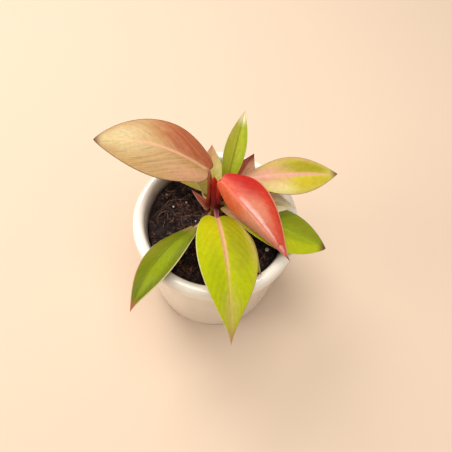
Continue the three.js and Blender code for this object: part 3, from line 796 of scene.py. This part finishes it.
def make_fibres(height):
    """Coir: thin curved threads that lie over the crumbs."""
    rng = np.random.default_rng(47)
    shape = Shape()
    for number in range(FIBRES + BUNDLE):
        x, y = random_spot(rng, LITTER_REACH)
        heading, bend = 2 * math.pi * rng.random(), 0.12 * rng.standard_normal()
        if number >= FIBRES:
            x, y = (middle + spread * rng.standard_normal()
                    for middle, spread in zip(BUNDLE_SPOT, BUNDLE_SPREAD))
            heading = 0.1 + 0.35 * rng.standard_normal()
        length = 4 + 13 * rng.random() ** 1.5
        thick = 0.1 + 0.16 * rng.random() ** 2
        lift = 1.2 * rng.random() ** 3
        path = []
        for i in range(FIBRE_STEPS):
            t = i / (FIBRE_STEPS - 1)
            if math.hypot(x, y) < SOIL_RADIUS - 1.2:
                sunk = -0.5 if i in (0, FIBRE_STEPS - 1) else 0.35 + lift * math.sin(math.pi * t)
                path.append((x, y, height(x, y) + sunk))
            heading += bend + 0.1 * rng.standard_normal()
            x += length / FIBRE_STEPS * math.cos(heading)
            y += length / FIBRE_STEPS * math.sin(heading)
        if len(path) < 6:
            continue
        path = np.array(path)
        path[1:-1, 2] = (path[:-2, 2] + path[1:-1, 2] * 2 + path[2:, 2]) / 4
        radii = thick * (1 - 0.45 * np.abs(np.linspace(-1, 1, len(path))) ** 2)
        tone = rng.random()
        tube(shape, path, radii, 5, (0, 0, 1), leaf_along=(tone, tone + 0.01))
    s = Shader("coir")
    tone = s.parts(s.coordinates("Leaf"))[0]
    fine = s.noise(s.place(), 900, 3, 0.6)
    colour = s.ramp(tone, COIR_TONES)
    s.set(Base_Color=s.mix(s.map(fine, 0.3, 0.7, 0.1, 0.5), colour, COIR_SHADE), Roughness=0.8)
    s.set(Normal=s.bump(fine, 0.08))
    shape.build("coir_fibres", [s.material])


def make_perlite(height):
    rng = np.random.default_rng(59)
    form, faces = ball(3)
    spots = list(PERLITE_SPOTS)
    for _ in range(PERLITE_LOOSE):
        spots.append((*random_spot(rng, 45, 9), 0.45 + 0.5 * rng.random()))
    shape = Shape()
    for x, y, size in spots:
        grain = lump(form, rng, size, (1, 0.85, 0.8), 0.02)
        shape.add(grain + [x, y, height(x, y) + 0.15 * size], faces)
    s = Shader("perlite")
    place = s.place()
    pores = s.noise(place, 1500, 4, 0.6)
    dust = s.noise(place, 350, 3, 0.6)
    colour = s.mix(s.map(pores, 0.35, 0.6), *PERLITE_TONES)
    s.set(Base_Color=s.mix(s.map(dust, 0.5, 0.72, 0, 0.6), colour, PERLITE_DUST), Roughness=0.9)
    s.set(Normal=s.bump(pores, 0.2))
    shape.build("perlite", [s.material])


# Stem

def stem_at(z):
    """Middle and radius of the stem at a height."""
    x, y, radius = (np.interp(z, [p[2] for p in STEM], [p[k] for p in STEM]) for k in (0, 1, 3))
    return np.array([x, y, z]), radius


def make_stem():
    path = curve_through([p[:3] for p in STEM])[::2]
    z = path[:, 2]
    radii = np.array([stem_at(h)[1] for h in z])
    scars = SCAR_RELIEF * np.maximum(0, np.cos((z - 88) * 1.15)) ** 4
    scars = np.where((z > SCARS[0]) & (z < SCARS[1]), scars, 0)
    shape = Shape()
    broad = SHEATH_BREADTH * smooth(*SHEATH_GROWS, z) * (1 - smooth(*SHEATH_FADES, z))
    tube(shape, path, radii + scars, STEM_SIDES, (0, 1, 0), wings=broad)
    s = Shader("stem_skin")
    place = s.place()
    along = s.parts(s.coordinates("Leaf"))[0]
    streaks = s.noise(s.vector("MULTIPLY", place, (1, 1, 0.12)), 900, 4, 0.6)
    colour = s.ramp(along, [(0.2, BROWN), (0.35, OLIVE), (0.5, MAROON), (0.72, RUBY), (0.9, CHERRY)])
    s.set(Base_Color=s.mix(s.map(streaks, 0.4, 0.75, 0, 0.5), colour, WINE), Roughness=0.42)
    s.set(Coat_Weight=0.15, Coat_Roughness=0.25, Normal=s.bump(streaks, 0.1))
    shape.build("stem_and_sheath", [s.material], "stem")


# Leaves

def midrib(leaf):
    """Points along the midrib with the directions ahead, to the left and up from the blade."""
    t = np.linspace(0, 1, RIB_STEPS + 1)

    def ahead_at(t):
        pitch = np.radians(leaf["pitch"] + (leaf["tip_pitch"] - leaf["pitch"]) * t)
        turn = np.radians(leaf["heading"] + leaf["turn"] * t)
        return np.stack([np.cos(pitch) * np.cos(turn), np.cos(pitch) * np.sin(turn), np.sin(pitch)], -1)

    steps = ahead_at((t[:-1] + t[1:]) / 2) * leaf["length"] / RIB_STEPS
    points = np.concatenate([[leaf["base"]], leaf["base"] + np.cumsum(steps, 0)])
    ahead = ahead_at(t)
    turn = np.radians(leaf["heading"] + leaf["turn"] * t)
    level = np.stack([-np.sin(turn), np.cos(turn), 0 * turn], -1)
    above = np.cross(ahead, level)
    roll = np.radians(leaf["roll"] + (leaf["tip_roll"] - leaf["roll"]) * t)[:, None]
    left = level * np.cos(roll) + above * np.sin(roll)
    up = above * np.cos(roll) - level * np.sin(roll)
    return dict(point=points, ahead=ahead, left=left, up=up)


def half_width(leaf, u):
    """Half the blade's width at a share u of its length."""
    before = leaf["shoulder"] + (1 - leaf["shoulder"]) * np.sin(np.pi / 2 * np.clip(u / leaf["wide"], 0, 1))
    rest = np.clip((u - leaf["wide"]) / (1 - leaf["wide"]), 0, 1)
    after = np.maximum(np.cos(np.pi / 2 * rest), 0) ** leaf["point"]
    return leaf["width"] / 2 * np.where(u < leaf["wide"], before, after)


def blade_points(leaf, rib, u, v):
    """Points of the upper face, the directions up from it, and the distance from the midrib."""
    side = np.abs(v)
    reach = u + 0.1 * (1 - u) * np.minimum(1, u / 0.15 + 0.35)
    half = half_width(leaf, reach)
    lobe = 0.035 * (1 - u) ** 6 * np.sin(np.pi * side)
    along = u + (reach - u) * side ** 1.6 - lobe
    place = np.clip(along, 0, 1) * RIB_STEPS
    i = np.minimum(place.astype(int), RIB_STEPS - 1)
    part = (place - i)[..., None]
    point, ahead, left, up = (rib[k][i] * (1 - part) + rib[k][i + 1] * part
                              for k in ("point", "ahead", "left", "up"))
    point = point + ahead * (np.minimum(along, 0) * leaf["length"])[..., None]
    fold, curl = math.radians(leaf["fold"]), math.radians(leaf["curl"])
    angle = fold + curl * side
    out = (np.sin(angle) - math.sin(fold)) / curl * half * np.sign(v)
    rise = (math.cos(fold) - np.cos(angle)) / curl * half
    # The crease at the midrib is rounded off over a few millimetres
    soft = bell(half * side / CREASE)
    rise = rise + CREASE * abs(math.tan(fold)) * np.sign(fold) * soft * CREASE_DEPTH
    point = point + left * out[..., None] + up * rise[..., None]
    tilt = np.where(half < 0.05, 0, angle * np.sign(v))[..., None]
    return point, up * np.cos(tilt) - left * np.sin(tilt), half


def vein_relief(u, side, length, sweep):
    """Depth of the side veins, which leave the midrib and sweep towards the tip."""
    place = u - sweep * side ** VEIN_POWER * (1 - 0.3 * u)
    count = max(5, round(length / VEIN_SPACING))
    phase = place * count - np.floor(place * count) - 0.5
    groove = bell(phase / 0.13)
    swell = np.cos(2 * np.pi * phase)
    shown = smooth(0.02, 0.12, side) * (1 - smooth(0.78, 0.97, side))
    shown = shown * smooth(-0.12, 0.02, place) * (1 - smooth(0.72, 0.95, u))
    return shown * (groove + 0.5 * swell)


def make_leaf(leaf):
    look = LOOKS[leaf["name"]]
    rib = midrib(leaf)
    rows = np.linspace(0, 1, BLADE_ROWS + 1)[:-1] ** 0.96
    t = np.linspace(-1, 1, BLADE_COLUMNS + 1)
    columns = t - 0.1 * np.sin(2 * np.pi * t)
    u, v = np.meshgrid(rows, columns, indexing="ij")
    side = np.abs(v)
    upper, normal, half = blade_points(leaf, rib, u, v)
    across = half * side
    size = leaf["width"] / COMMON_WIDTH
    veins = vein_relief(u, side, leaf["length"], look.get("sweep", VEIN_SWEEP))
    end = np.minimum(1, (1 - u) * leaf["length"] / 6)
    groove = GROOVE_DEPTH * (1 - 0.6 * u) * bell(across / (GROOVE_WIDTH * size + 0.1))
    groove = groove * end * smooth(0, 0.06, u)
    upper = upper - normal * ((groove + VEIN_DEPTH * size * veins * end)[..., None])
    if "crease" in look:
        bent = (u - look["crease"] - 0.05 * (v - 0.1) ** 2) * leaf["length"]
        dent = DENT_DEPTH * bell(bent / DENT_WIDTH) - 0.25 * bell((bent - 2) / 1.3)
        upper = upper - normal * (dent * (1 - smooth(0.35, 0.65, np.abs(v - 0.15))))[..., None]
    inward = np.minimum(1, (1 - side) * half / MARGIN_TAPER)
    thick = MARGIN_THICKNESS + (BLADE_THICKNESS - MARGIN_THICKNESS) * inward
    ridge = RIB_DEPTH * size ** 0.5 * (1 - 0.85 * u) * bell(across / (RIB_WIDTH * size ** 0.5))
    depth = thick + ridge * end + VEIN_DEPTH_BELOW * size * np.maximum(veins, 0) * end
    lower = upper - normal * depth[..., None]
    tip, tip_normal, _ = blade_points(leaf, rib, np.array([1.0]), np.array([0.0]))
    edge = np.minimum((1 - side) * half, u * leaf["length"] + 0.2)
    leaf_uv = np.stack([u, v], -1).reshape(-1, 2)
    span_uv = np.stack([across, edge], -1).reshape(-1, 2)
    shape = Shape()
    count = BLADE_COLUMNS + 1
    face_size = BLADE_ROWS * count
    low_tip_point = tip - tip_normal * TIP_THICKNESS
    points = np.concatenate([upper.reshape(-1, 3), lower.reshape(-1, 3), tip, low_tip_point])
    leaf_uv = np.concatenate([leaf_uv, leaf_uv, [[1, 0], [1, 0]]])
    span_uv = np.concatenate([span_uv, span_uv, [[0, 0], [0, 0]]])
    top_tip, low_tip = 2 * face_size, 2 * face_size + 1
    quads = grid_faces(BLADE_ROWS, count)
    last = (BLADE_ROWS - 1) * count
    top_faces = [(a, d, c, b) for a, b, c, d in quads]
    top_faces += [(last + j + 1, last + j, top_tip) for j in range(count - 1)]
    low_faces = [tuple(i + face_size for i in face) for face in quads]
    low_faces += [(last + j + face_size, last + j + 1 + face_size, low_tip) for j in range(count - 1)]
    around = [*range(count), *(i * count + count - 1 for i in range(1, BLADE_ROWS)), top_tip,
              *(i * count for i in range(BLADE_ROWS - 1, 0, -1))]
    below = [i + face_size if i != top_tip else low_tip for i in around]
    edges = list(zip(around, below))
    rim_faces = [(a, c, d, b) for (a, b), (c, d) in zip(edges, edges[1:] + edges[:1])]
    shape.add(points, top_faces, 0, leaf_uv, span_uv)
    shape.faces += low_faces + rim_faces
    shape.slots += [1] * len(low_faces) + [0] * len(rim_faces)
    add_petiole(shape, leaf, look, rib)
    materials = [blade_material(leaf, look, upper=True), blade_material(leaf, look, upper=False),
                 petiole_material(leaf["name"], *look["petiole"])]
    shape.build(leaf["name"] + "_fine", materials, leaf["name"])


def add_petiole(shape, leaf, look, rib):
    """The petiole runs from inside the stem to the blade and on under its midrib."""
    angle, z = math.radians(leaf["root"][0]), leaf["root"][1]
    centre, radius = stem_at(z)
    outward = np.array([math.cos(angle), math.sin(angle), 0])
    away, rise = PETIOLE_LEAVES
    stops = [centre + outward * (radius - PETIOLE_SUNK), centre + outward * (radius + away) + [0, 0, rise]]
    if leaf["via"]:
        stops.append(leaf["via"])
    sunk = CREASE * max(0, -math.tan(math.radians(leaf["fold"])))
    for i, depth in PETIOLE_SEATS:
        stops.append(rib["point"][i] - rib["up"][i] * (depth + sunk))
    path = curve_through(stops)[np.linspace(0, CURVE_POINTS - 1, PETIOLE_RINGS).astype(int)]
    t = np.linspace(0, 1, PETIOLE_RINGS)
    waist = leaf["petiole"] * PETIOLE_WAIST
    radii = np.where(t < 0.75, leaf["petiole"] + (waist - leaf["petiole"]) * t / 0.75,
                     waist + (PETIOLE_END - waist) * (t - 0.75) / 0.25)
    sheath = look.get("sheath", 0) * smooth(0, 0.12, t) * (1 - smooth(0.3, 0.75, t))
    tube(shape, path[::-1], radii[::-1], PETIOLE_SIDES, rib["up"][PETIOLE_SEATS[-1][0]], slot=2,
         leaf_along=(1, 0), groove=PETIOLE_CHANNEL, wings=sheath[::-1])


def blade_colour(s, look, where, u, v, rib_mm, edge_mm, place):
    """The blade's colour: two halves, washes, midrib, margin and tip."""
    drift = s.noise(place, 120, 3, 0.55)
    wander = s.math("MULTIPLY_ADD", drift, 0.5, -0.25)
    colour = s.mix(s.map(v, -0.06, 0.06), look["right"], look["left"])
    for pigment, mid_u, mid_v, reach_u, reach_v, strength in look["washes"]:
        scaled = s.vector("MULTIPLY_ADD", where, (1 / reach_u, 1 / reach_v, 0),
                          (-mid_u / reach_u, -mid_v / reach_v, 0))
        distance = s.math("ADD", s.vector("LENGTH", scaled, output="Value"), wander)
        colour = s.mix(s.map(distance, 1.0, 0.25, 0, strength), colour, pigment)
    pigment, width, fades = look["rib"]
    line = s.map(rib_mm, width, width * 0.35)
    line = s.times(line, s.map(u, fades, fades * 0.55, 0.15, 0.9))
    colour = s.mix(line, colour, pigment)
    left, right, width = look["margin"]
    edge = s.mix(s.map(v, -0.05, 0.05), right, left)
    line = s.map(edge_mm, width, width * 0.25, 0, 0.85)
    if "bare" in look:
        line = s.times(line, s.map(u, look["bare"] * 0.4, look["bare"]))
    colour = s.mix(line, colour, edge)
    pigment, starts = look["tip"]
    reached = s.math("ADD", u, s.times(wander, 0.06))
    return s.mix(s.map(reached, starts - 0.05, 1.0), colour, pigment)


def blade_material(leaf, look, upper):
    s = Shader(leaf["name"] + ("_upper" if upper else "_under"))
    place = s.place()
    where = s.coordinates("Leaf")
    u, v = s.parts(where)[0:2]
    rib_mm, edge_mm = s.parts(s.coordinates("Span"))[0:2]
    side = s.math("ABSOLUTE", v)
    # How far along the midrib the side vein through this spot leaves it
    swept = s.times(s.math("POWER", side, VEIN_POWER), look.get("sweep", VEIN_SWEEP))
    origin = s.math("SUBTRACT", u, swept)
    lines = s.join(s.times(origin, leaf["length"] / 6), s.times(side, 0.35), s.math("SIGN", v))
    streaks = s.noise(lines, 5.5, 5, 0.62)
    fine = s.noise(lines, 17, 3, 0.6)
    colour = blade_colour(s, look, where, u, v, rib_mm, edge_mm, place)
    dark_vein, pale_vein, strength = look["vein"]
    shown = s.map(rib_mm, 0.4, 3)
    dark = s.times(s.map(streaks, 0.5, 0.66, 0, strength), shown)
    colour = s.mix(dark, colour, dark_vein)
    pale = s.times(s.map(streaks, 0.48, 0.3, 0, strength * 0.8), shown)
    colour = s.mix(pale, colour, pale_vein)
    mottle = s.noise(place, 380, 4, 0.6)
    colour = s.mix(1.0, colour, s.ramp(mottle, [(0.3, "#eeeeee"), (0.7, "#ffffff")]), "MULTIPLY")
    if upper:
        s.set(Roughness=s.map(mottle, 0.3, 0.7, 0.3, 0.42), Specular_IOR_Level=look.get("gloss", 0.3))
        s.set(Coat_Weight=0.05, Coat_Roughness=0.2)
    else:
        colour = s.mix(0.35, colour, look["rib"][0])
        s.set(Roughness=s.map(mottle, 0.3, 0.7, 0.5, 0.65), Specular_IOR_Level=0.4)
    pores = s.noise(place, 2400, 2, 0.5)
    relief = s.bump(streaks, 0.16 if upper else 0.22)
    relief = s.bump(fine, 0.05, relief)
    relief = s.bump(pores, 0.012, relief)
    s.set(Base_Color=colour, Normal=relief)
    s.shine_through(colour, LIGHT_THROUGH, relief)
    return s.material


def petiole_material(name, root, middle, top):
    s = Shader(name + "_petiole")
    along, around = s.parts(s.coordinates("Leaf"))[0:2]
    place = s.place()
    lines = s.join(s.times(along, 1.5), s.times(around, 14))
    streaks = s.noise(lines, 2.2, 4, 0.6)
    colour = s.ramp(s.math("ADD", along, s.map(streaks, 0.3, 0.7, -0.08, 0.08)),
                    [(0.05, root), (0.5, middle), (0.95, top)])
    colour = s.mix(s.map(streaks, 0.5, 0.75, 0, 0.35), colour, root)
    from_channel = s.math("ABSOLUTE", s.math("SUBTRACT", around, 0.5))
    channel = s.times(s.map(from_channel, 0.03, 0.13, 0.5, 0), s.map(along, 0.65, 0.85, 1, 0))
    colour = s.mix(channel, colour, root)
    s.set(Base_Color=colour, Roughness=0.36, Coat_Weight=0.15, Coat_Roughness=0.2)
    fine = s.bump(s.noise(place, 1800, 3, 0.6), 0.03)
    s.set(Normal=s.bump(streaks, 0.12, fine))
    return s.material


# Stage: a plain pale floor, soft lights and the camera

def make_stage():
    bpy.ops.mesh.primitive_plane_add(size=FLOOR_SIDE, location=(0, 0, -FLOOR_DROP))
    floor = bpy.context.object
    floor.name = "floor"
    s = Shader("floor_paper")
    s.set(Base_Color=FLOOR_COLOUR, Roughness=0.75, Specular_IOR_Level=0.2)
    floor.data.materials.append(s.material)
    world = bpy.data.worlds.new("studio")
    world.use_nodes = True
    sky = world.node_tree.nodes["Background"].inputs
    sky["Color"].default_value = SKY_COLOUR
    sky["Strength"].default_value = SKY_STRENGTH
    scene.world = world


def make_light(name, place, size, watts, colour):
    lamp = bpy.data.lights.new(name, "AREA")
    lamp.shape = "DISK"
    lamp.size = size
    lamp.energy = watts
    lamp.color = colour
    light = bpy.data.objects.new(name, lamp)
    scene.collection.objects.link(light)
    light.location = place
    light.rotation_euler = (Vector(LIGHT_TARGET) - Vector(place)).to_track_quat("-Z", "Y").to_euler()


def make_camera():
    """Looks down on the front of the plant, turned a little about its own line of sight."""
    elevation, roll = math.radians(CAMERA_ELEVATION), math.radians(CAMERA_ROLL)
    back = Vector((0, -math.cos(elevation), math.sin(elevation)))
    level = Vector((1, 0, 0))
    upright = back.cross(level)
    right = level * math.cos(roll) + upright * math.sin(roll)
    up = upright * math.cos(roll) - level * math.sin(roll)
    data = bpy.data.cameras.new("camera")
    data.sensor_width = CAMERA_SENSOR
    data.lens = CAMERA_LENS
    data.clip_start = 0.01
    camera = bpy.data.objects.new("camera", data)
    scene.collection.objects.link(camera)
    turn = Matrix((right, up, back)).transposed().to_4x4()
    place = (Vector(CAMERA_TARGET) + back * CAMERA_DISTANCE) * MM
    camera.matrix_world = Matrix.Translation(place) @ turn
    scene.camera = camera


make_camera()
make_stage()
for light in LIGHTS:
    make_light(*light)
scene.view_settings.view_transform = "Standard"

make_pot()
soil_level = ground_at(make_soil())
make_crumbs(soil_level)
make_flakes(soil_level)
make_fibres(soil_level)
make_perlite(soil_level)
make_stem()
for leaf in LEAVES:
    make_leaf(leaf)
